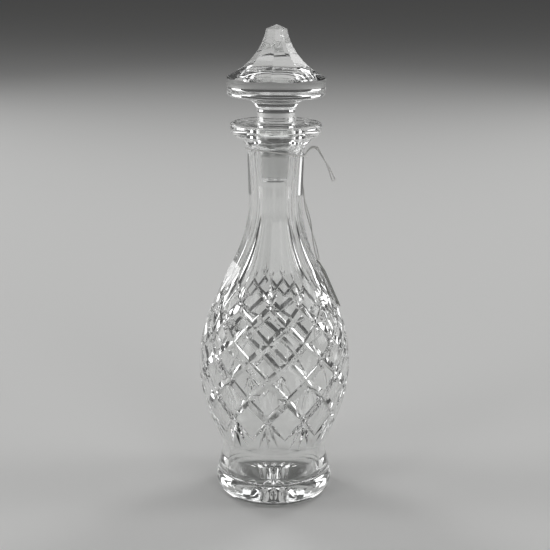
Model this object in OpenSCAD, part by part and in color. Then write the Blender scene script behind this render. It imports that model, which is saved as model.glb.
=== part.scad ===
// Footed cut crystal decanter with a drop-in faceted stopper and a tie-on string tag.
// Millimetres. Z is up, the origin is the middle of the foot's underside, and -Y is the front.

/* [Foot] */
// Width of the foot where it is widest
foot_w = 82.6; // [81:0.2:84]
// Height of the foot's widest place
foot_z = 9.5; // [9:0.5:10.5]
// Radius of the foot's rounded side
foot_round = 12; // [11.5:0.5:12.5]
// Width of the waist above the foot
waist_w = 73.6; // [72.6:0.2:74.6]
// Height of the waist
waist_z = 32; // [31:0.5:33]
// Radius of the waist's hollow side
waist_round = 16; // [15:0.5:17]
// Points of the star cut into the underside
star_points = 24; // [8:2:24]
// Radius at which the star's points run out
star_reach = 32; // [28:0.5:34]
// Depth of the star at its middle
star_depth = 2.2; // [1:0.2:5]

/* [Belly] */
// Width of the belly
belly_w = 106; // [104:0.5:108]
// Height of the belly's widest place
belly_z = 94; // [92:1:95]
// Radius of the belly's side below its widest place
belly_low = 98; // [96:1:100]
// Radius of the belly's side above its widest place
belly_high = 105; // [102:1:106]
// Thickness of the glass in the belly
belly_wall = 6; // [5:0.5:7]
// Thickness of the glass under the inside
floor_z = 12; // [10:0.5:14]

/* [Neck] */
// Width of the neck over the corners of its panels
neck_w = 37; // [36.5:0.5:38]
// Height of the neck's slimmest place
neck_z = 212; // [210:1:214]
// Radius of the hollow curve from the shoulder to the neck
neck_round = 87; // [85:1:88]
// Width of the bore through the neck
bore_w = 20; // [19:0.5:20.5]
// Panels cut round the neck, the lip and the stopper
panels = 8; // [6:1:10]
// Turn of the panels' corners from the front
panel_turn = -7; // [-22:1:22]
// Radius of the wheel that hollows the lower ends of the neck's panels
neck_wheel = 100; // [96:1:110]

/* [Lip] */
// Width of the lip
lip_w = 62; // [60:0.5:64]
// Height of the lip's top
lip_z = 265; // [264:0.5:266]
// Height at which the neck meets the lip
lip_foot_z = 246; // [245:0.5:247]

/* [Stopper] */
// Width of the stopper's peg at its lower end
peg_w = 20.4; // [19.8:0.2:20.6]
// Height of the peg's lower end
peg_z = 226; // [225:0.5:228]
// Widening of the peg's radius for each millimetre of height
peg_taper = 0.084; // [0.08:0.002:0.09]
// Gap between the peg and its seat
seat_gap = 0.1; // [0.08:0.01:0.12]
// Width of the stopper's round band
band_w = 66.6; // [65:0.2:68]
// Height of the band's lower edge
band_z = 283; // [282:0.5:284]
// Radius of the wheel that hollows the spire's panels
spire_wheel = 42.7; // [42:0.1:43.4]
// Height of the stopper's point
top_z = 330; // [329:0.5:331]

/* [String tag] */
// Thickness of one strand of the string
strand_d = 0.9; // [0.6:0.1:1]
// Width of the card tag
tag_w = 20; // [18:0.5:22]
// Length of the card tag
tag_l = 36; // [34:0.5:37]
// Thickness of the card
tag_t = 0.6; // [0.4:0.1:0.8]
// Turn of the tag from the right-hand side towards the back
tag_turn = 18; // [17:0.5:19]

/* [Hidden] */

front = -90;
panel_step = 360 / panels;
panel_mid = front + panel_turn + panel_step / 2;
flat_share = cos(panel_step / 2);

// Centres of the outline's arcs, as [radius, height]
foot_c = [foot_w / 2 - foot_round, foot_z];
waist_c = [waist_w / 2 + waist_round, waist_z];
low_c = [belly_w / 2 - belly_low, belly_z];
high_c = [belly_w / 2 - belly_high, belly_z];
neck_c = [neck_w / 2 + neck_round, neck_z];
neck_wall = (neck_w - bore_w) / 2;
neck_flat = neck_w / 2 * flat_share;

// The lip: its side, the cone under it and the hollow between that and the neck
lip_r = lip_w / 2;
lip_side_z = lip_z - 6.5;
lip_edge = 2;
lip_hollow = 7;
lip_foot_r = neck_w / 2 + 1;
mouth_r = 15.5;
mouth_drop = 1;
mouth_round = 3;

// The seat and the peg share one taper
seat_top_z = 255;
function peg_r(z) = peg_w / 2 + (z - peg_z) * peg_taper;
seat_low_z = peg_z - (peg_w / 2 + seat_gap - bore_w / 2) / peg_taper;
stem_z = 272;
stem_r = peg_r(seat_top_z) + 0.2;
stem_flare = 9;
band_r = band_w / 2;
band_low_round = 2.8;
spire_c = [48.5, 334.6];
tip_slope = 25;
tip_blunt = 0.1;
cut_w = 60;

// Where the string runs: in a slack loop round the neck, up and over as a free tail,
// and down from the same knot to the tag's hole
loop_z = 244.5;
loop_r = 21.2;
loop_tilt = 11;
loop_turn = 50;
knot_at = [13.6, 16.2, 240.5];
knot_r = 1.7;
tail_route = [[13.6, 16.2, 240.5], [17, 15.5, 239.3], [20, 14, 240.3], [22, 12.5, 243.4],
    [24.6, 11, 246.2], [28.2, 10, 246], [32, 9.5, 240.4], [36.8, 9, 232], [39.8, 8.5, 224.6]];
tail_knot_at = [28.2, 10, 246];
tail_knot_r = 1.4;
drop_route = [[13.6, 16.2, 240.5], [16.4, 15, 229], [18.8, 13.6, 218], [20.9, 12.8, 206],
    [24.3, 12, 193], [27.2, 11.2, 180], [30.6, 10, 166.4]];
tube_sides = 8;
ring_steps = 3;

// Angle at which a bulge of radius rb leaves for a hollow of radius rh along a straight
function lean(bulge, rb, hollow, rh) =
    let (way = hollow - bulge)
    atan2(way.y, way.x) - sign(way.y) * acos((rb + rh) / norm(way));

// Points along an arc, at most step degrees apart
function arc(c, r, from, to, step = 5) =
    let (n = max(1, ceil(abs(to - from) / step)))
    [for (i = [0:n]) c + r * [cos(from + (to - from) * i / n), sin(from + (to - from) * i / n)]];

// The side from the waist to the neck, moved inwards by the wall of the body and of the neck
function side(body_in, neck_in) =
    let (low = lean(low_c, belly_low - body_in, waist_c, waist_round + body_in),
         high = lean(high_c, belly_high - body_in, neck_c, neck_round + neck_in))
    concat(arc(waist_c, waist_round + body_in, 180, 180 + low, 8),
        arc(low_c, belly_low - body_in, low, 0, 4),
        arc(high_c, belly_high - body_in, 4, high, 4),
        arc(neck_c, neck_round + neck_in, 180 + high, 180, 4));

module outside() {
    foot_lean = lean(foot_c, foot_round, waist_c, waist_round);
    polygon(concat([[0, 0]],
        arc(foot_c, foot_round, -asin(foot_z / foot_round), foot_lean, 8),
        [waist_c - waist_round * [cos(foot_lean), sin(foot_lean)]],
        side(0, 0),
        [[lip_foot_r, lip_foot_z]],
        arc([lip_foot_r + lip_hollow, lip_foot_z], lip_hollow, 172, 130, 14),
        [[lip_r - 1, lip_side_z - 1], [lip_r, lip_side_z + 1]],
        arc([lip_r - lip_edge, lip_z - lip_edge], lip_edge, 0, 90, 22.5),
        [[mouth_r, lip_z - mouth_drop], [0, lip_z - mouth_drop]]));
}

module inside() {
    corner = 5;
    hollow_r = waist_round + belly_wall;
    flare = asin((waist_z - floor_z - corner) / (hollow_r + corner));
    corner_c = waist_c - (hollow_r + corner) * [cos(flare), sin(flare)];
    mouth_c = [peg_r(seat_top_z) + seat_gap + mouth_round, lip_z - mouth_drop - mouth_round];
    polygon(concat([[0, floor_z]],
        arc(corner_c, corner, -90, flare, 15),
        arc(waist_c, hollow_r, 180 + flare - 8, 188, 8),
        side(belly_wall, neck_wall),
        [[bore_w / 2, seat_low_z], [peg_r(seat_top_z) + seat_gap, seat_top_z]],
        arc(mouth_c, mouth_round, 180, 90, 18),
        [[mouth_c.x, lip_z + 5], [0, lip_z + 5]]));
}

// One ray of the star: a V cut that is deepest at the middle and runs out at its point
module star_ray() {
    slope = atan(star_depth / star_reach);
    length = star_reach / cos(slope);
    half_w = 7;
    translate([star_reach, 0, 0])
        rotate([0, slope - 90, 0])
        linear_extrude(length)
        polygon([[0, 0], [-half_w, half_w], [-half_w, -half_w]]);
}

// One panel of the neck: hollow below the slimmest place, flat above it, hollow again at the lip
module neck_panel() {
    low_reach = 40;
    top_wheel = 16;
    top_reach = 52;
    lean_out = 1.2;
    flat_top = lip_foot_z - 3;
    low_wheel_c = [neck_flat + neck_wheel, neck_z];
    top_wheel_c = [neck_flat + lean_out + top_wheel, flat_top];
    rotate([90, 0, 0])
        linear_extrude(cut_w, center = true)
        polygon(concat([[lip_w, neck_z - neck_wheel * sin(low_reach)]],
            arc(low_wheel_c, neck_wheel, 180 + low_reach, 180, 4),
            arc(top_wheel_c, top_wheel, 180, 180 - top_reach, 13),
            [[lip_w, flat_top + top_wheel * sin(top_reach)]]));
}

// One facet of the spire, cut by a wheel
module spire_panel() {
    translate([spire_c.x, 0, spire_c.y])
        rotate([90, 0, 0])
        cylinder(r = spire_wheel, h = cut_w, center = true, $fn = 120);
}

// One facet of the low point on top of the spire
module tip_facet() {
    translate([0, -cut_w / 2, top_z + tip_blunt])
        rotate([0, tip_slope, 0])
        cube([cut_w, cut_w, cut_w]);
}

module around_panels() {
    for (i = [0:panels - 1])
        rotate([0, 0, panel_mid + i * panel_step])
        children();
}

module decanter_body() {
    color("azure")
    difference() {
        rotate_extrude($fn = 96)
            outside();
        rotate_extrude($fn = 96)
            inside();
        around_panels()
            neck_panel();
        for (i = [0:star_points - 1])
            rotate([0, 0, front + i * 360 / star_points])
            star_ray();
    }
}

module stopper() {
    edge = 1;
    top_r = peg_r(seat_top_z);
    flare_c = [stem_r + stem_flare, stem_z];
    low_c = [band_r - band_low_round, band_z + band_low_round];
    color("lightcyan")
    difference() {
        rotate_extrude($fn = 96)
            polygon(concat([[0, peg_z], [peg_r(peg_z) - edge, peg_z], [peg_r(peg_z + edge), peg_z + edge],
                    [top_r, seat_top_z]],
                arc(flare_c, stem_flare, 180, 105, 12),
                arc(low_c, band_low_round, -82, 0, 20),
                [[band_r, top_z], [0, top_z]]));
        around_panels()
            spire_panel();
        around_panels()
            tip_facet();
    }
}

module neck_string() {
    color("white")
    translate([0, 0, loop_z])
        rotate([0, 0, loop_turn])
        rotate([0, loop_tilt, 0])
        rotate_extrude($fn = 64)
        translate([loop_r, 0])
        circle(d = strand_d, $fn = 16);
}

module neck_knot() {
    color("white")
    translate(knot_at)
        sphere(r = knot_r, $fn = 24);
}

module tail_knot() {
    color("white")
    translate(tail_knot_at)
        sphere(r = tail_knot_r, $fn = 24);
}

// A point of a smooth curve through a route, at t counted in its points
function along(route, t) =
    let (last = len(route) - 1,
         i = min(floor(t), last - 1),
         u = t - i,
         a = route[max(i - 1, 0)],
         b = route[i],
         c = route[i + 1],
         d = route[min(i + 2, last)])
    0.5 * ((2 * b) + (c - a) * u + (2 * a - 5 * b + 4 * c - d) * u * u
        + (3 * b - a - 3 * c + d) * u * u * u);

// A round tube swept along a route
module tube(route, d) {
    count = (len(route) - 1) * ring_steps;
    spine = [for (i = [0:count]) along(route, i / ring_steps)];
    points = [for (i = [0:count])
        let (way = spine[min(i + 1, count)] - spine[max(i - 1, 0)],
             across = cross(way, [0, 1, 0]) / norm(cross(way, [0, 1, 0])),
             over = cross(across, way) / norm(cross(across, way)))
        for (k = [0:tube_sides - 1])
        spine[i] + d / 2 * (cos(k * 360 / tube_sides) * across + sin(k * 360 / tube_sides) * over)];
    walls = [for (i = [0:count - 1], k = [0:tube_sides - 1])
        let (a = i * tube_sides + k,
             b = i * tube_sides + (k + 1) % tube_sides)
        [a, b, b + tube_sides, a + tube_sides]];
    ends = [[for (k = [tube_sides - 1:-1:0]) k],
        [for (k = [0:tube_sides - 1]) count * tube_sides + k]];
    polyhedron(points, concat(walls, ends), convexity = 4);
}

module string_tail() {
    color("white")
        tube(tail_route, 2 * strand_d);
}

module tag_string() {
    color("white")
        tube(drop_route, 2 * strand_d);
}

// The card lies along the straight of the shoulder, with clipped corners and a hole at the string
module price_tag() {
    high = lean(high_c, belly_high, neck_c, neck_round);
    straight = high_c + belly_high * [cos(high), sin(high)];
    clear = 0.5;
    below = 4;
    clip = 6;
    hole_d = 4;
    half = tag_w / 2;
    color("ivory")
    rotate([0, 0, tag_turn])
        translate([straight.x, 0, straight.y])
        rotate([0, -high, 0])
        translate([clear, 0, -below])
        rotate([90, 0, 90])
        linear_extrude(tag_t)
        difference() {
            polygon([[-half, 0], [half, 0], [half, tag_l - clip], [half - clip, tag_l],
                [clip - half, tag_l], [-half, tag_l - clip]]);
            translate([0, tag_l - hole_d])
                circle(d = hole_d, $fn = 32);
        }
}

decanter_body();
stopper();
neck_string();
neck_knot();
tag_string();
string_tail();
tail_knot();
price_tag();
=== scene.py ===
"""Looks of a footed cut crystal decanter: its turned and cut glass, its stopper, string and tag.

The glass is turned from outlines in millimetres and cut by V-shaped wheels, as the real one is.
Every finished mesh is in metres, in the frame of the CAD model.
"""

import math
import random

import bpy
import numpy as np
from mathutils import Matrix, Vector


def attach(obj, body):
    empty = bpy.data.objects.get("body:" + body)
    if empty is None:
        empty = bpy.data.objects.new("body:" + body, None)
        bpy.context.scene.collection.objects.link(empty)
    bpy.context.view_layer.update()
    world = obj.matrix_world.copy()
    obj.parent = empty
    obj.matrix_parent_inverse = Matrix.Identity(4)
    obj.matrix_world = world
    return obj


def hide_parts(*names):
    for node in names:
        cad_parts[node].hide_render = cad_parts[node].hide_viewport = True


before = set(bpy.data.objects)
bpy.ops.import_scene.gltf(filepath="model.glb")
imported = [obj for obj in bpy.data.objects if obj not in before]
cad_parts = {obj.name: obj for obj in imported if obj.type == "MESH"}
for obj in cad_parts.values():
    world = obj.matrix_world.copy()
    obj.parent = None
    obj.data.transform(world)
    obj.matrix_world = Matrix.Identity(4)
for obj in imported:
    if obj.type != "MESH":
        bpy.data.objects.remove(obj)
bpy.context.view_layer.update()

MM = 0.001
FRONT = -90.0
VESSEL, STOPPER = "vessel", "stopper"

# The camera of the reference view
CAMERA_PLACE = (0.0, -0.83, 0.382)
CAMERA_DOWN = 15.1
CAMERA_ROLL = 0.38
CAMERA_LENS = 80.6

# Foot and waist
FOOT_W, FOOT_Z, FOOT_ROUND = 82.6, 9.5, 12.0
WAIST_W, WAIST_Z, WAIST_ROUND = 73.6, 32.0, 16.0
STAR_REACH, STAR_DEPTH, STAR_RAYS = 32.0, 2.2, 24
WORN_FROM = 32.5

# Belly
BELLY_W, BELLY_Z, BELLY_LOW, BELLY_HIGH = 106.0, 94.0, 98.0, 105.0
BELLY_WALL, FLOOR_Z, FLOOR_CORNER = 6.0, 12.0, 5.0

# Neck and lip
NECK_W, NECK_Z, NECK_ROUND, BORE_W = 37.0, 212.0, 87.0, 20.0
PANELS, PANEL_TURN, NECK_WHEEL = 8, -7.0, 100.0
LIP_W, LIP_Z, LIP_FOOT_Z, LIP_HOLLOW, LIP_EDGE = 62.0, 265.0, 246.0, 7.0, 2.0
MOUTH_R, MOUTH_DROP, MOUTH_ROUND = 15.5, 1.0, 3.0

# Seat and stopper
PEG_W, PEG_Z, PEG_TAPER, PEG_EDGE, SEAT_GAP, SEAT_TOP_Z = 20.4, 226.0, 0.084, 1.0, 0.1, 255.0
STEM_Z, STEM_FLARE = 272.0, 9.0
BAND_W, BAND_Z, BAND_ROUND = 66.6, 283.0, 2.8
SPIRE_C, SPIRE_WHEEL = np.array((48.5, 334.6)), 42.7
TOP_Z, TIP_SLOPE, TIP_BLUNT = 330.0, 25.0, 0.1

# String and tag
STRAND_D = 0.9
LOOP_Z, LOOP_R, LOOP_TILT, LOOP_TURN = 244.5, 21.2, 11.0, 50.0
KNOT_AT, KNOT_R = (0.0136, 0.0162, 0.2405), 1.7
TAIL_ROUTE = [(0.0136, 0.0162, 0.2405), (0.017, 0.0155, 0.2393), (0.020, 0.014, 0.2403),
              (0.022, 0.0125, 0.2434), (0.0246, 0.011, 0.2462), (0.0282, 0.010, 0.246),
              (0.032, 0.0095, 0.2404), (0.0368, 0.009, 0.232), (0.0398, 0.0085, 0.2246)]
TAIL_KNOT_AT, TAIL_KNOT_R = (0.0282, 0.010, 0.246), 1.4
DROP_ROUTE = [(0.0136, 0.0162, 0.2405), (0.0164, 0.015, 0.229), (0.0188, 0.0136, 0.218),
              (0.0209, 0.0128, 0.206), (0.0243, 0.012, 0.193), (0.0272, 0.0112, 0.180),
              (0.0306, 0.010, 0.1664)]
TAG_W, TAG_L, TAG_T, TAG_TURN, TAG_CLIP, TAG_HOLE = 20.0, 36.0, 0.6, 18.0, 6.0, 4.0
TAG_CLEAR, TAG_BELOW = 0.5, 4.0

# The belly's lattice: its columns are a twelfth of a turn apart and its rows grow downwards
COLUMNS, COLUMN_TURN = 12, -5.0
ROW_TOP, ROW_STEP, ROW_GROWTH, LAST_ROW = 144.5, 10.3, 0.4, 6
MITRE_DEPTH, MITRE_HALF = 2.1, 54.0
STROKE_DEPTH = 0.85

# The leaves below and above the lattice, as how far each leans over in degrees and its length
FAN_LEAVES, FAN_DEPTH = ((0, 26), (-17, 24), (17, 24), (-36, 21), (36, 21)), 1.3
BLAZE_LEAVES, BLAZE_DEPTH = ((0, 17), (-24, 12), (24, 12)), 1.1

# The dome that the studio's soft boxes lie on
DOME, DOME_Z = 2.6, 0.15
FLOOR_REACH, FLOOR_UNDER = 12, -0.0003

# How finely round stretches are followed
FOLLOW = 0.01
BODY_SEGMENTS, STOPPER_SEGMENTS = 160, 128


# ---------------------------------------------------------------- camera

def make_camera():
    data = bpy.data.cameras.new("camera")
    data.lens = CAMERA_LENS
    camera = bpy.data.objects.new("camera", data)
    bpy.context.collection.objects.link(camera)
    turn = Matrix.Rotation(math.radians(90 - CAMERA_DOWN), 4, "X")
    roll = Matrix.Rotation(math.radians(CAMERA_ROLL), 4, "Z")
    camera.matrix_world = Matrix.Translation(CAMERA_PLACE) @ turn @ roll
    bpy.context.scene.camera = camera


# ---------------------------------------------------------------- outlines

class Arc:
    """A round stretch of an outline, from one angle to another in degrees."""

    def __init__(self, centre, radius, start, end):
        self.centre, self.radius = np.array(centre, float), radius
        self.start, self.end = start, end
        self.first, self.last = self.at(start), self.at(end)

    def at(self, angle):
        turn = math.radians(angle)
        return self.centre + self.radius * np.array((math.cos(turn), math.sin(turn)))

    def points(self):
        length = math.radians(abs(self.end - self.start)) * self.radius
        count = max(2, math.ceil(length / math.sqrt(8 * self.radius * FOLLOW)))
        return [self.at(a) for a in np.linspace(self.start, self.end, count + 1)]

    def normal(self, p):
        out = p - self.centre
        out /= np.maximum(np.linalg.norm(out, axis=1, keepdims=True), 1e-9)
        return out if self.end > self.start else -out

    def radius_at(self, z):
        side = 1 if math.cos(math.radians((self.start + self.end) / 2)) > 0 else -1
        return self.centre[0] + side * math.sqrt(self.radius ** 2 - (z - self.centre[1]) ** 2)

    def back(self):
        return Arc(self.centre, self.radius, self.end, self.start)


class Straight:
    """A straight stretch of an outline."""

    def __init__(self, first, last):
        self.first, self.last = np.array(first, float), np.array(last, float)

    def points(self):
        return [self.first, self.last]

    def normal(self, p):
        along = (self.last - self.first) / np.linalg.norm(self.last - self.first)
        return np.tile((along[1], -along[0]), (len(p), 1))

    def radius_at(self, z):
        share = (z - self.first[1]) / (self.last[1] - self.first[1])
        return self.first[0] + share * (self.last[0] - self.first[0])

    def back(self):
        return Straight(self.last, self.first)


def outline(*stretches):
    """The stretches in order, joined by straights. Single points are corners."""
    parts, end = [], None
    for s in stretches:
        first = s.first if isinstance(s, (Arc, Straight)) else np.array(s, float)
        if end is not None and np.linalg.norm(first - end) > 1e-6:
            parts.append(Straight(end, first))
        if isinstance(s, (Arc, Straight)):
            parts.append(s)
            end = s.last
        else:
            end = first
    return parts


def backwards(parts):
    return [p.back() for p in reversed(parts)]


def lean(bulge, bulge_r, hollow, hollow_r):
    """Angle at which a bulge leaves for a hollow along a straight that touches both."""
    way = hollow - bulge
    turn = math.acos((bulge_r + hollow_r) / np.linalg.norm(way))
    return math.degrees(math.atan2(way[1], way[0]) - math.copysign(turn, way[1]))


FOOT_C = np.array((FOOT_W / 2 - FOOT_ROUND, FOOT_Z))
WAIST_C = np.array((WAIST_W / 2 + WAIST_ROUND, WAIST_Z))
LOW_C = np.array((BELLY_W / 2 - BELLY_LOW, BELLY_Z))
HIGH_C = np.array((BELLY_W / 2 - BELLY_HIGH, BELLY_Z))
NECK_C = np.array((NECK_W / 2 + NECK_ROUND, NECK_Z))
NECK_FLAT = NECK_W / 2 * math.cos(math.pi / PANELS)


def peg_r(z):
    return PEG_W / 2 + (z - PEG_Z) * PEG_TAPER


def side(body_in, neck_in):
    """The side from the waist to the neck, moved inwards by a wall."""
    waist_r, low_r = WAIST_ROUND + body_in, BELLY_LOW - body_in
    high_r, neck_r = BELLY_HIGH - body_in, NECK_ROUND + neck_in
    low, high = lean(LOW_C, low_r, WAIST_C, waist_r), lean(HIGH_C, high_r, NECK_C, neck_r)
    return outline(Arc(WAIST_C, waist_r, 180, 180 + low), Arc(LOW_C, low_r, low, 0),
                   Arc(HIGH_C, high_r, 0, high), Arc(NECK_C, neck_r, 180 + high, 180))


def body_outline():
    """Round the glass: under the foot, up the outside, over the lip and down the inside."""
    foot_lean = lean(FOOT_C, FOOT_ROUND, WAIST_C, WAIST_ROUND)
    foot_start = -math.degrees(math.asin(FOOT_Z / FOOT_ROUND))
    lip_r, lip_side_z, lip_foot_r = LIP_W / 2, LIP_Z - 6.5, NECK_W / 2 + 1
    mouth_c = (peg_r(SEAT_TOP_Z) + SEAT_GAP + MOUTH_ROUND, LIP_Z - MOUTH_DROP - MOUTH_ROUND)
    seat_low_z = PEG_Z - (PEG_W / 2 + SEAT_GAP - BORE_W / 2) / PEG_TAPER
    hollow_r = WAIST_ROUND + BELLY_WALL
    flare = math.asin((WAIST_Z - FLOOR_Z - FLOOR_CORNER) / (hollow_r + FLOOR_CORNER))
    corner_c = WAIST_C - (hollow_r + FLOOR_CORNER) * np.array((math.cos(flare), math.sin(flare)))
    flare = math.degrees(flare)
    outside = outline((0, 0), (WORN_FROM, 0), Arc(FOOT_C, FOOT_ROUND, foot_start, foot_lean),
                      Arc(WAIST_C, WAIST_ROUND, 180 + foot_lean, 180), *side(0, 0),
                      Arc((lip_foot_r + LIP_HOLLOW, LIP_FOOT_Z), LIP_HOLLOW, 180, 130),
                      (lip_r - 1, lip_side_z - 1), (lip_r, lip_side_z + 1),
                      Arc((lip_r - LIP_EDGE, LIP_Z - LIP_EDGE), LIP_EDGE, 0, 90),
                      (MOUTH_R, LIP_Z - MOUTH_DROP))
    inside = outline((0, FLOOR_Z), Arc(corner_c, FLOOR_CORNER, -90, flare),
                     Arc(WAIST_C, hollow_r, 180 + flare, 180),
                     *side(BELLY_WALL, (NECK_W - BORE_W) / 2), (BORE_W / 2, seat_low_z),
                     (peg_r(SEAT_TOP_Z) + SEAT_GAP, SEAT_TOP_Z), Arc(mouth_c, MOUTH_ROUND, 180, 90))
    return outline(*outside, *backwards(inside))


def stopper_outline():
    top_r, band_r = peg_r(SEAT_TOP_Z), BAND_W / 2
    flare_c = (top_r + 0.2 + STEM_FLARE, STEM_Z)
    low_c = (band_r - BAND_ROUND, BAND_Z + BAND_ROUND)
    return outline((0, PEG_Z), (peg_r(PEG_Z) - PEG_EDGE, PEG_Z), (peg_r(PEG_Z + PEG_EDGE), PEG_Z + PEG_EDGE),
                   (top_r, SEAT_TOP_Z), Arc(flare_c, STEM_FLARE, 180, 105),
                   Arc(low_c, BAND_ROUND, -82, 0), (band_r, TOP_Z), (0, TOP_Z))


# ---------------------------------------------------------------- meshes and cutting

class Surfaces:
    """What each face of a piece was made by, so that it gets its true normals and finish."""

    def __init__(self):
        self.normals, self.finish = [], []

    def add(self, normal_of, finish=0):
        self.normals.append(normal_of)
        self.finish.append(finish)
        return len(self.normals)


def turned_normal(part):
    def normal_of(p):
        radius = np.hypot(p[:, 0], p[:, 1])
        flat = part.normal(np.stack((radius, p[:, 2]), 1))
        across = p[:, :2] / np.maximum(radius, 1e-9)[:, None]
        return np.column_stack((across * flat[:, :1], flat[:, 1]))
    return normal_of


def panel_normal(part, turn):
    """The true normals of a panel, whose outline is drawn upwards with the glass on its left."""
    ahead = np.array((math.cos(turn), math.sin(turn)))

    def normal_of(p):
        flat = part.normal(np.stack((p[:, :2] @ ahead, p[:, 2]), 1))
        return np.column_stack((ahead * flat[:, :1], flat[:, 1]))
    return normal_of


def mesh_of(points, faces, made_by=None):
    """A mesh, with the number of the surface that made each face."""
    mesh = bpy.data.meshes.new("mesh")
    mesh.from_pydata([tuple(p) for p in points], [], faces)
    tag = mesh.attributes.new("made_by", "INT", "FACE")
    tag.data.foreach_set("value", np.array(made_by if made_by is not None else [0] * len(faces)))
    return mesh


def turned(parts, segments, surfaces, finish_of=lambda part: 0):
    """A closed solid of revolution from an outline that starts and ends on the axis."""
    points, faces, made_by, rings = [], [], [], []

    def ring(p):
        first = len(points)
        if p[0] < 1e-6:
            points.append((0, 0, p[1]))
            rings.append([first] * segments)
            return
        for i in range(segments):
            turn = 2 * math.pi * i / segments
            points.append((p[0] * math.cos(turn), p[0] * math.sin(turn), p[1]))
        rings.append(list(range(first, first + segments)))

    for part in parts:
        number = surfaces.add(turned_normal(part), finish_of(part))
        for p in part.points()[0 if not rings else 1:]:
            ring(p)
            if len(rings) < 2:
                continue
            low, high = rings[-2], rings[-1]
            for i in range(segments):
                k = (i + 1) % segments
                corners = list(dict.fromkeys((low[i], low[k], high[k], high[i])))
                faces.append(corners)
                made_by.append(number)
    return mesh_of(points, faces, made_by)


def extruded(parts, turn, half_width, surfaces):
    """A cutter: a closed outline, seen along the tangent, drawn out to both sides of a radius."""
    section, made_by = [], []
    for part in parts:
        number = surfaces.add(panel_normal(part, turn))
        for p in part.points()[1:]:
            section.append(p)
            made_by.append(number)
    ahead, across = (math.cos(turn), math.sin(turn)), (-math.sin(turn), math.cos(turn))
    points = [(p[0] * ahead[0] + s * across[0], p[0] * ahead[1] + s * across[1], p[1])
              for s in (-half_width, half_width) for p in section]
    n = len(section)
    faces = [[(i - 1) % n, i, i + n, (i - 1) % n + n] for i in range(n)]
    faces += [list(range(n))[::-1], list(range(n, 2 * n))]
    return mesh_of(points, faces, made_by + [0, 0])


def furrow(places, normals, depths, half_angle, above=0.6):
    """A V-shaped cutter along places on a surface. A depth below zero lifts it clear."""
    places, normals = np.array(places, float), np.array(normals, float)
    along = np.gradient(places, axis=0)
    across = np.cross(normals, along)
    across /= np.linalg.norm(across, axis=1, keepdims=True)
    depths = np.maximum(np.array(depths, float), -0.8 * above)[:, None]
    half = (depths + above) * math.tan(math.radians(half_angle))
    rings = np.stack((places - depths * normals, places + above * normals + half * across,
                      places + above * normals - half * across), 1)
    points, faces = rings.reshape(-1, 3), [[2, 1, 0]]
    for i in range(len(places) - 1):
        a = 3 * i
        faces += [[a + k, a + (k + 1) % 3, a + 3 + (k + 1) % 3, a + 3 + k] for k in range(3)]
    last = 3 * (len(places) - 1)
    return points, faces + [[last, last + 1, last + 2]]


def joined(cutters):
    points, faces = [], []
    for p, f in cutters:
        first = len(points)
        points += [tuple(x) for x in p]
        faces += [[first + i for i in face] for face in f]
    return mesh_of(points, faces)


def new_piece(name, mesh):
    piece = bpy.data.objects.new(name, mesh)
    bpy.context.collection.objects.link(piece)
    return piece


def carve(piece, mesh):
    """Cut one closed mesh out of a piece. Parts of it that touch each other go in turns."""
    tool = new_piece("cutter", mesh)
    step = piece.modifiers.new("cut", "BOOLEAN")
    step.operation, step.solver, step.object = "DIFFERENCE", "MANIFOLD", tool
    bpy.context.view_layer.update()
    done = piece.evaluated_get(bpy.context.evaluated_depsgraph_get())
    result, old = bpy.data.meshes.new_from_object(done), piece.data
    piece.modifiers.clear()
    piece.data = result
    bpy.data.objects.remove(tool)
    bpy.data.meshes.remove(mesh)
    bpy.data.meshes.remove(old)


def polish(piece, surfaces, materials):
    """Scale to metres, and give every face its finish and true normals."""
    mesh = piece.data
    count, loops = len(mesh.polygons), len(mesh.loops)
    made_by, sizes = np.zeros(count, int), np.zeros(count, int)
    mesh.attributes["made_by"].data.foreach_get("value", made_by)
    mesh.polygons.foreach_get("loop_total", sizes)
    corner, places = np.zeros(loops, int), np.zeros(len(mesh.vertices) * 3)
    mesh.loops.foreach_get("vertex_index", corner)
    mesh.vertices.foreach_get("co", places)
    places, of_loop = places.reshape(-1, 3), np.repeat(made_by, sizes)
    normals = np.zeros((loops, 3))
    for number in np.unique(made_by[made_by > 0]):
        mine = of_loop == number
        normals[mine] = surfaces.normals[number - 1](places[corner[mine]])
    mesh.materials.clear()
    for material in materials:
        mesh.materials.append(material)
    finish = np.array([0] + surfaces.finish)[made_by]
    mesh.polygons.foreach_set("material_index", finish)
    mesh.vertices.foreach_set("co", (places * MM).ravel())
    mesh.polygons.foreach_set("use_smooth", np.ones(count, bool))
    mesh.attributes.remove(mesh.attributes["made_by"])
    mesh.update()
    mesh.set_sharp_from_angle(angle=math.radians(12))
    mesh.normals_split_custom_set(normals.tolist())
    mesh.update()


# ---------------------------------------------------------------- the decanter

def around():
    """The middle of each panel, in radians."""
    step = 360 / PANELS
    return [math.radians(FRONT + PANEL_TURN + step / 2 + i * step) for i in range(PANELS)]


def neck_panel():
    reach_low, reach_top, lean_out, top_wheel = 40, 52, 1.2, 16
    flat_top = LIP_FOOT_Z - 3
    low = Arc((NECK_FLAT + NECK_WHEEL, NECK_Z), NECK_WHEEL, 180 + reach_low, 180)
    top = Arc((NECK_FLAT + lean_out + top_wheel, flat_top), top_wheel, 180, 180 - reach_top)
    return outline((LIP_W, low.first[1]), low, top, (LIP_W, top.last[1]), (LIP_W, low.first[1]))


def spire_panel():
    wheel = Arc(SPIRE_C, SPIRE_WHEEL, 258, 180)
    return outline((LIP_W, wheel.first[1]), wheel, (wheel.last[0], TOP_Z + 10), (LIP_W, TOP_Z + 10),
                   (LIP_W, wheel.first[1]))


def tip_facet():
    drop = math.tan(math.radians(TIP_SLOPE))
    top = TOP_Z + TIP_BLUNT
    reach = 12
    return outline((reach, top - reach * drop), (-reach, top + reach * drop), (reach, top + reach * drop),
                   (reach, top - reach * drop))


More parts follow.
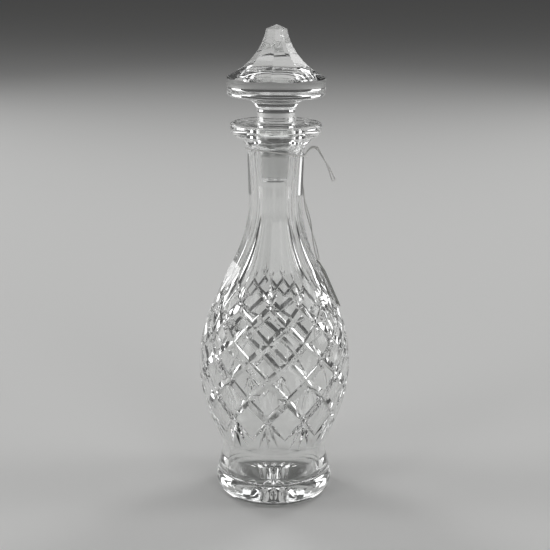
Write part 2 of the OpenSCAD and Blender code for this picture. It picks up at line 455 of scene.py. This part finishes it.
SIDE = side(0, 0)


def on_belly(theta, z):
    """A place on the belly and its outward normal. Theta is in degrees from the front."""
    for part in SIDE:
        if part.first[1] <= z <= part.last[1]:
            radius = part.radius_at(z)
            flat = part.normal(np.array([[radius, z]]))[0]
            turn = math.radians(theta + FRONT)
            ahead = np.array((math.cos(turn), math.sin(turn)))
            return np.append(ahead * radius, z), np.append(ahead * flat[0], flat[1])
    raise ValueError(f"no belly at {z}")


def row_z(row):
    return ROW_TOP - ROW_STEP * row - ROW_GROWTH * row * row


def mitre(column, lean_way, over=0.28):
    """One long V cut that winds down the belly through a node of every row."""
    places, normals, depths = [], [], []
    for row in np.arange(-over, LAST_ROW + over + 0.01, 0.14):
        theta = COLUMN_TURN + column * 360 / COLUMNS + lean_way * 180 / COLUMNS * row
        place, normal = on_belly(theta, row_z(row))
        run_out = min(1, (min(row, LAST_ROW - row) + over) / over)
        places.append(place)
        normals.append(normal)
        depths.append(MITRE_DEPTH * (1 - (1 - run_out) ** 2 * 1.3))
    return furrow(places, normals, depths, MITRE_HALF)


def leaf(theta, z, lean_deg, length, depth, half_angle=52, grow=0.0):
    """A leaf-shaped cut centred on a place on the belly; grow moves its widest place along it."""
    centre, normal = on_belly(theta, z)
    places, normals, depths = [], [], []
    up, turn = math.cos(math.radians(lean_deg)), math.sin(math.radians(lean_deg))
    steep = math.hypot(normal[0], normal[1])
    radius = math.hypot(centre[0], centre[1])
    for share in np.linspace(-1.12, 1.12, 17):
        s = share * length / 2
        place, out = on_belly(theta + math.degrees(s * turn / radius), z + s * up * steep)
        places.append(place)
        normals.append(out)
        skewed = share - grow * (1 - share * share)
        depths.append(depth * (1 - skewed * skewed))
    return furrow(places, normals, depths, half_angle)


def burst(z, way, leaves, depth, gap, radius, grow):
    """Batches of leaves that spread down (-1) or up (1) from the nodes of one row."""
    for lean_deg, length in leaves:
        reach = length * 0.5 + gap
        shift = math.degrees(reach * math.sin(math.radians(lean_deg)) / radius)
        rise = way * reach * math.cos(math.radians(lean_deg))
        yield [leaf(COLUMN_TURN + 360 / COLUMNS * c + shift, z + rise, way * lean_deg, length, depth,
                    grow=grow) for c in range(COLUMNS)]


def belly_cuts():
    """Batches of cutters. The cutters of a batch don't touch each other."""
    rng = random.Random(3)
    step = 360 / COLUMNS
    yield [mitre(c, 1) for c in range(COLUMNS)]
    yield [mitre(c, -1) for c in range(COLUMNS)]
    middles = [(COLUMN_TURN + step * c + (step / 2) * (row % 2), row_z(row), row)
               for row in range(2, LAST_ROW) for c in range(COLUMNS)]
    for side_step in (0, -1, 1):
        strokes = []
        for theta, z, row in middles:
            lean_deg = rng.choice((-24, 24)) if row % 2 else rng.uniform(-4, 4)
            length = (13 if side_step == 0 else 8) + rng.uniform(-1.5, 1.5)
            at = theta + side_step * rng.uniform(4.6, 5.6)
            strokes.append(leaf(at, z + rng.uniform(-1, 1), lean_deg, length, STROKE_DEPTH, half_angle=48))
        yield strokes
    yield from burst(row_z(LAST_ROW), -1, FAN_LEAVES, FAN_DEPTH, gap=1.5, radius=48, grow=0.3)
    yield from burst(ROW_TOP, 1, BLAZE_LEAVES, BLAZE_DEPTH, gap=1, radius=40, grow=0.0)


def star_ray(turn):
    """A leaf-shaped cut of the underside, from near its middle to the edge of its star."""
    shares = np.linspace(0.02, 1.03, 15)
    ahead = np.array((math.cos(turn), math.sin(turn), 0))
    places = [ahead * s * STAR_REACH for s in shares]
    depths = STAR_DEPTH * (1 - np.abs(shares - 0.4) ** 2 / np.where(shares < 0.4, 0.39, 0.6) ** 2)
    return furrow(places, [(0, 0, -1)] * len(places), depths, 47, above=0.15)


def make_body(clear, ground, worn):
    surfaces = Surfaces()

    def finish_of(part):
        """0 is polished, 1 is the ground seat and 2 is the worn ring that the foot stands on."""
        low, high = sorted((part.first[1], part.last[1]))
        if high == 0 and part.first[0] == WORN_FROM:
            return 2
        in_seat = low > PEG_Z - 6 and high < SEAT_TOP_Z + 1
        return 1 if in_seat and max(part.first[0], part.last[0]) < 14 else 0

    body = new_piece("cut_glass_body", turned(body_outline(), BODY_SEGMENTS, surfaces, finish_of))
    for turn in around():
        carve(body, extruded(neck_panel(), turn, 30, surfaces))
    for batch in belly_cuts():
        carve(body, joined(batch))
    for first in range(3):
        rays = [math.radians(FRONT) + 2 * math.pi * i / STAR_RAYS for i in range(first, STAR_RAYS, 3)]
        carve(body, joined([star_ray(turn) for turn in rays]))
    polish(body, surfaces, [clear, ground, worn])
    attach(body, VESSEL)
    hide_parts("decanter_body")


def make_stopper(clear, ground):
    surfaces = Surfaces()

    def finish_of(part):
        return 1 if part.last[1] == SEAT_TOP_Z else 0

    stopper = new_piece("cut_glass_stopper",
                        turned(stopper_outline(), STOPPER_SEGMENTS, surfaces, finish_of))
    for section in (spire_panel, tip_facet):
        for turn in around():
            carve(stopper, extruded(section(), turn, 30, surfaces))
    polish(stopper, surfaces, [clear, ground])
    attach(stopper, STOPPER)
    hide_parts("stopper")


# ---------------------------------------------------------------- string and tag

def along(route, t):
    """A point of a smooth curve through a route, at t counted in its points."""
    i = min(int(t), len(route) - 2)
    u = t - i
    a, b, c, d = (Vector(route[k]) for k in (max(i - 1, 0), i, i + 1, min(i + 2, len(route) - 1)))
    return 0.5 * (2 * b + (c - a) * u + (2 * a - 5 * b + 4 * c - d) * u ** 2
                  + (3 * b - a - 3 * c + d) * u ** 3)


def smooth_route(route, step=0.0004):
    """Evenly spaced points of the smooth curve through a route."""
    rough = [along(route, t) for t in np.linspace(0, len(route) - 1, 40 * len(route))]
    lengths = np.cumsum([0] + [(b - a).length for a, b in zip(rough, rough[1:])])
    at = np.linspace(0, lengths[-1], max(8, int(lengths[-1] / step)))
    line = np.array(rough)
    return np.stack([np.interp(at, lengths, line[:, k]) for k in range(3)], 1)


def carried_frames(line):
    """An across vector for each point of a line, turned as little as possible along it."""
    ways = np.gradient(line, axis=0)
    ways /= np.linalg.norm(ways, axis=1, keepdims=True)
    across = np.cross(ways[0], (0.3, 0.9, 0.1))
    frames = []
    for way in ways:
        across = across - way * across.dot(way)
        across /= np.linalg.norm(across)
        frames.append((across, np.cross(way, across)))
    return frames


def strand(line, radius, sides=12, plies=3, pitch=0.0026, phase=0.0):
    """A plied yarn along a line: its section has a lobe for each ply, which turns along it."""
    frames = carried_frames(line)
    steps = np.cumsum(np.concatenate(([0], np.linalg.norm(np.diff(line, axis=0), axis=1))))
    points, faces = [], []
    for place, (across, over), s in zip(line, frames, steps):
        twist = phase + 2 * math.pi * s / pitch
        for k in range(sides):
            turn = 2 * math.pi * k / sides
            size = radius * (1.0 + 0.12 * math.cos(plies * (turn - twist)))
            points.append(place + size * (math.cos(turn) * across + math.sin(turn) * over))
    for i in range(len(line) - 1):
        a = i * sides
        faces += [[a + k, a + (k + 1) % sides, a + sides + (k + 1) % sides, a + sides + k]
                  for k in range(sides)]
    faces += [list(range(sides))[::-1], list(range(len(points) - sides, len(points)))]
    return points, faces


def side_by_side(line, gap, turns, start=0.0, spread=None):
    """The lines of two strands that wind loosely round one centreline."""
    frames = carried_frames(line)
    result = ([], [])
    for i, (place, (across, over)) in enumerate(zip(line, frames)):
        share = i / (len(line) - 1)
        turn = start + 2 * math.pi * turns * share
        reach = gap * (1 if spread is None else spread(share))
        out = reach * (math.cos(turn) * across + math.sin(turn) * over)
        result[0].append(place + out)
        result[1].append(place - out)
    return [np.array(r) for r in result]


def frayed_end(line, radius, rng, fibres=9, length=0.0022):
    """Loose fibres that spread from the end of a strand."""
    end, way = line[-1], line[-1] - line[-4]
    way = way / np.linalg.norm(way)
    bundles = []
    for _ in range(fibres):
        stray = np.array([rng.uniform(-1, 1) for _ in range(3)])
        start = end - way * 0.0006 + stray * radius * 0.5
        reach = length * rng.uniform(0.5, 1)
        hair = [start + way * reach * t + stray * reach * 0.45 * t * t for t in np.linspace(0, 1, 6)]
        bundles.append(strand(np.array(hair), 0.00009, sides=5, plies=1, pitch=1))
    return bundles


def soft_mesh(name, bundles, material):
    mesh = joined(bundles)
    mesh.attributes.remove(mesh.attributes["made_by"])
    mesh.materials.append(material)
    mesh.polygons.foreach_set("use_smooth", np.ones(len(mesh.polygons), bool))
    mesh.update()
    return new_piece(name, mesh)


def knot_bundle(centre, size, radius, tilt):
    """A closed overhand knot of one strand, pulled tight into a bead."""
    turn = Matrix.Rotation(tilt, 3, "X") @ Matrix.Rotation(0.7 + tilt, 3, "Z")
    line = []
    for t in np.linspace(0, 2 * math.pi, 91):
        p = Vector((math.sin(t) + 2 * math.sin(2 * t), math.cos(t) - 2 * math.cos(2 * t),
                    -1.5 * math.sin(3 * t)))
        line.append(Vector(centre) + turn @ p * (size / 3.9))
    return strand(np.array(line), radius)


def make_strings(cotton):
    rng = random.Random(7)
    radius = STRAND_D * MM / 2
    tilt = Matrix.Rotation(math.radians(LOOP_TILT), 3, "Y")
    loop_turn = Matrix.Rotation(math.radians(LOOP_TURN), 3, "Z") @ tilt
    middle, reach = Vector((0, 0, LOOP_Z * MM)), LOOP_R * MM
    loop = np.array([middle + loop_turn @ Vector((reach * math.cos(a), reach * math.sin(a), 0))
                     for a in np.linspace(0, 2 * math.pi, 340)])
    ring = soft_mesh("string_loop", [strand(loop, radius)], cotton)
    wraps = [knot_bundle(KNOT_AT, KNOT_R * MM, radius * 0.8, 0.4),
             knot_bundle(KNOT_AT, KNOT_R * MM * 0.9, radius * 0.7, 1.7)]
    neck_knot = soft_mesh("string_knot", wraps, cotton)
    drop = smooth_route(DROP_ROUTE)
    two = side_by_side(drop, radius * 1.02, 1.5, 0.6, lambda s: 1 + 1.0 * s * s * (3 - 2 * s))
    falls = soft_mesh("string_drop", [strand(two[0], radius), strand(two[1], radius, phase=1.3)], cotton)
    tail = smooth_route(TAIL_ROUTE)
    ends = side_by_side(tail, radius * 1.02, 1.0, 0.2, lambda s: 1 + 1.3 * max(0.0, s - 0.75) / 0.25)
    loose = [strand(ends[0], radius), strand(ends[1], radius, phase=2.0)]
    for line in ends:
        loose += frayed_end(line, radius, rng)
    free = soft_mesh("string_tail_ends", loose, cotton)
    bead = knot_bundle(TAIL_KNOT_AT, TAIL_KNOT_R * MM, radius * 0.8, 1.1)
    tail_knot = soft_mesh("string_tail_knot", [bead], cotton)
    for piece, node in ((ring, "neck_string"), (neck_knot, "neck_knot"), (falls, "tag_string"),
                        (free, "string_tail"), (tail_knot, "tail_knot")):
        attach(piece, VESSEL)
        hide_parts(node)

    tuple(KNOT_AT)
    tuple(KNOT_AT)


def make_tag(card):
    """A blank card with clipped corners and a ring round its hole, a little bowed."""
    high = lean(HIGH_C, BELLY_HIGH, NECK_C, NECK_ROUND)
    straight = HIGH_C + BELLY_HIGH * np.array((math.cos(math.radians(high)), math.sin(math.radians(high))))
    half, hole_z, hole_r = TAG_W / 2, TAG_L - TAG_HOLE, TAG_HOLE / 2

    def rim(turn):
        """Distance from the hole's middle to the card's edge in one direction."""
        a, b = math.cos(turn), math.sin(turn)
        far = []
        for nx, nz, d in ((1, 0, half), (-1, 0, half), (0, 1, TAG_L - hole_z), (0, -1, hole_z),
                          (0.7071, 0.7071, (half + TAG_L - TAG_CLIP - hole_z) * 0.7071),
                          (-0.7071, 0.7071, (half + TAG_L - TAG_CLIP - hole_z) * 0.7071)):
            if nx * a + nz * b > 1e-9:
                far.append(d / (nx * a + nz * b))
        return min(far)

    spokes, rings = 96, (0, 0.02, 0.09, 0.1, 0.25, 0.4, 0.55, 0.7, 0.85, 0.95, 1.0)
    points, faces = [], []
    for face in (0, 1):
        for share in rings:
            for k in range(spokes):
                turn = 2 * math.pi * k / spokes
                reach = hole_r + share * (rim(turn) - hole_r)
                x, z = reach * math.cos(turn), hole_z + reach * math.sin(turn)
                bow = 0.35 * (1 - (x / half) ** 2) * (1 - z / TAG_L)
                thin = 0.08 if share in (0, 1.0) else 0.0
                raised = 0.07 if 0 < share <= 0.09 else 0.0
                y = TAG_T * 0.5 + (1 if face else -1) * (0.18 - thin + raised) - 0.12 + bow * 0.4
                points.append((x, y, z))
    n = len(rings) * spokes
    for i in range(len(rings) - 1):
        for k in range(spokes):
            a, b = i * spokes + k, i * spokes + (k + 1) % spokes
            faces.append([a, b, b + spokes, a + spokes])
            faces.append([n + a, n + a + spokes, n + b + spokes, n + b])
    for i in (0, len(rings) - 1):
        for k in range(spokes):
            a, b = i * spokes + k, i * spokes + (k + 1) % spokes
            faces.append([a, n + a, n + b, b] if i == 0 else [a, b, n + b, n + a])
    # Card x runs across, y out from the glass and z up the shoulder
    across, out, up = Vector((0, 1, 0)), Vector((1, 0, 0)), Vector((0, 0, 1))
    tilt = Matrix.Rotation(math.radians(-high), 3, "Y")
    turn = Matrix.Rotation(math.radians(TAG_TURN), 3, "Z")
    base = Vector((straight[0], 0, straight[1]))
    placed = []
    for x, y, z in points:
        on_card = across * x + out * (y + TAG_CLEAR) + up * (z - TAG_BELOW)
        placed.append(turn @ (base + tilt @ on_card) * MM)
    tag = soft_mesh("card_tag", [(placed, faces)], card)
    tag.data.set_sharp_from_angle(angle=math.radians(40))
    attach(tag, VESSEL)
    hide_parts("price_tag")
    return tag


# ---------------------------------------------------------------- materials

def new_material(name):
    material = bpy.data.materials.new(name)
    material.use_nodes = True
    return material, material.node_tree.nodes, material.node_tree.links


def crystal(name, roughness, wave, through=1.0):
    """Lead crystal, polished with a faint waviness, or ground or worn when it is rough."""
    material, nodes, links = new_material(name)
    glass = nodes["Principled BSDF"]
    glass.inputs["Base Color"].default_value = (0.985, 0.99, 0.985, 1)
    glass.inputs["Transmission Weight"].default_value = through
    glass.inputs["IOR"].default_value = 1.545
    glass.inputs["Roughness"].default_value = roughness
    place = nodes.new("ShaderNodeTexCoord")
    noise = nodes.new("ShaderNodeTexNoise")
    noise.inputs["Scale"].default_value = 70 if roughness < 0.1 else 900
    noise.inputs["Detail"].default_value = 1
    bump = nodes.new("ShaderNodeBump")
    bump.inputs["Strength"].default_value = wave
    bump.inputs["Distance"].default_value = 0.0005
    links.new(place.outputs["Object"], noise.inputs["Vector"])
    links.new(noise.outputs["Fac"], bump.inputs["Height"])
    links.new(bump.outputs["Normal"], glass.inputs["Normal"])
    return material


def fibrous(name, roughness, grain, detail, dark, light, raised):
    """Cotton or card: a fine grain in its colour and its surface."""
    material, nodes, links = new_material(name)
    matt = nodes["Principled BSDF"]
    matt.inputs["Roughness"].default_value = roughness
    place = nodes.new("ShaderNodeTexCoord")
    noise = nodes.new("ShaderNodeTexNoise")
    noise.inputs["Scale"].default_value = grain
    noise.inputs["Detail"].default_value = detail
    shade = nodes.new("ShaderNodeValToRGB")
    shade.color_ramp.elements[0].color = dark
    shade.color_ramp.elements[1].color = light
    bump = nodes.new("ShaderNodeBump")
    bump.inputs["Strength"].default_value = raised
    bump.inputs["Distance"].default_value = 0.0001
    links.new(place.outputs["Object"], noise.inputs["Vector"])
    links.new(noise.outputs["Fac"], shade.inputs["Fac"])
    links.new(shade.outputs["Color"], matt.inputs["Base Color"])
    links.new(noise.outputs["Fac"], bump.inputs["Height"])
    links.new(bump.outputs["Normal"], matt.inputs["Normal"])
    return material


def cotton_material():
    material = fibrous("cotton_string", 0.85, 2600, 4, (0.86, 0.85, 0.82, 1), (0.96, 0.96, 0.95, 1), 0.5)
    cloth = material.node_tree.nodes["Principled BSDF"]
    cloth.inputs["Sheen Weight"].default_value = 0.3
    return material


def card_material():
    return fibrous("paper_card", 0.7, 900, 6, (0.80, 0.79, 0.76, 1), (0.90, 0.90, 0.88, 1), 0.25)


# ---------------------------------------------------------------- studio

def make_floor():
    """A plain pale floor, one colour all over. It lies just under the foot, which it would flicker with."""
    material, nodes, _ = new_material("pale_floor")
    matt = nodes["Principled BSDF"]
    matt.inputs["Base Color"].default_value = (0.8, 0.8, 0.79, 1)
    matt.inputs["Roughness"].default_value = 1
    matt.inputs["Specular IOR Level"].default_value = 0
    sides = 96
    turns = [2 * math.pi * i / sides for i in range(sides)]
    rim = [(FLOOR_REACH * math.cos(a), FLOOR_REACH * math.sin(a), FLOOR_UNDER) for a in turns]
    mesh = bpy.data.meshes.new("floor")
    mesh.from_pydata(rim, [], [list(range(sides))])
    mesh.materials.append(material)
    new_piece("floor", mesh)


def soft_box(name, start, end, low, high, strength):
    """A white soft box: a piece of a big dome. Angles are in degrees, from +Y towards +X and upwards."""
    material, nodes, links = new_material(name)
    nodes.clear()
    glow = nodes.new("ShaderNodeEmission")
    glow.inputs["Strength"].default_value = strength
    out = nodes.new("ShaderNodeOutputMaterial")
    links.new(glow.outputs["Emission"], out.inputs["Surface"])
    columns, rows = max(1, round((end - start) / 8)), max(1, round((high - low) / 10))
    points, faces = [], []
    for up in np.linspace(math.radians(low), math.radians(high), rows + 1):
        for a in np.linspace(start, end, columns + 1):
            turn = math.radians(90 - a)
            flat = DOME * math.cos(up)
            points.append((flat * math.cos(turn), flat * math.sin(turn), DOME_Z + DOME * math.sin(up)))
    for j in range(rows):
        for i in range(columns):
            k = j * (columns + 1) + i
            faces.append([k, k + 1, k + columns + 2, k + columns + 1])
    mesh = bpy.data.meshes.new(name)
    mesh.from_pydata(points, [], faces)
    mesh.materials.append(material)
    box = new_piece(name, mesh)
    box.visible_camera = False


def make_lights():
    """Plain soft boxes in white: two at each side, two at the front and one overhead."""
    soft_box("left_box", -54, -34, 2, 58, 2.3)
    soft_box("left_side_box", -100, -80, 2, 58, 1.8)
    soft_box("right_box", 34, 54, 2, 58, 2.3)
    soft_box("right_side_box", 80, 100, 2, 58, 1.8)
    soft_box("front_right_box", 145, 160, 2, 58, 1.2)
    soft_box("front_left_box", 220, 235, 2, 58, 1.2)
    soft_box("overhead_box", -180, 180, 62, 88, 0.75)
    world = bpy.data.worlds.new("plain_studio")
    world.use_nodes = True
    world.node_tree.nodes["Background"].inputs["Color"].default_value = (0.07, 0.07, 0.07, 1)
    bpy.context.scene.world = world


def set_paths():
    """Enough bounces for light to get through the cut glass."""
    scene = bpy.context.scene
    scene.cycles.max_bounces = 32
    scene.cycles.transmission_bounces = 32
    scene.cycles.glossy_bounces = 16
    scene.cycles.sample_clamp_indirect = 12
    scene.view_settings.view_transform = "Standard"


make_camera()
clear = crystal("lead_crystal", 0.0, 0.02)
ground = crystal("ground_crystal", 0.22, 0.3)
worn = crystal("worn_crystal", 0.6, 0.3, 0.5)
tag_piece = make_tag(card_material())
make_strings(cotton_material())
make_body(clear, ground, worn)
make_stopper(clear, ground)
make_floor()
make_lights()
set_paths()
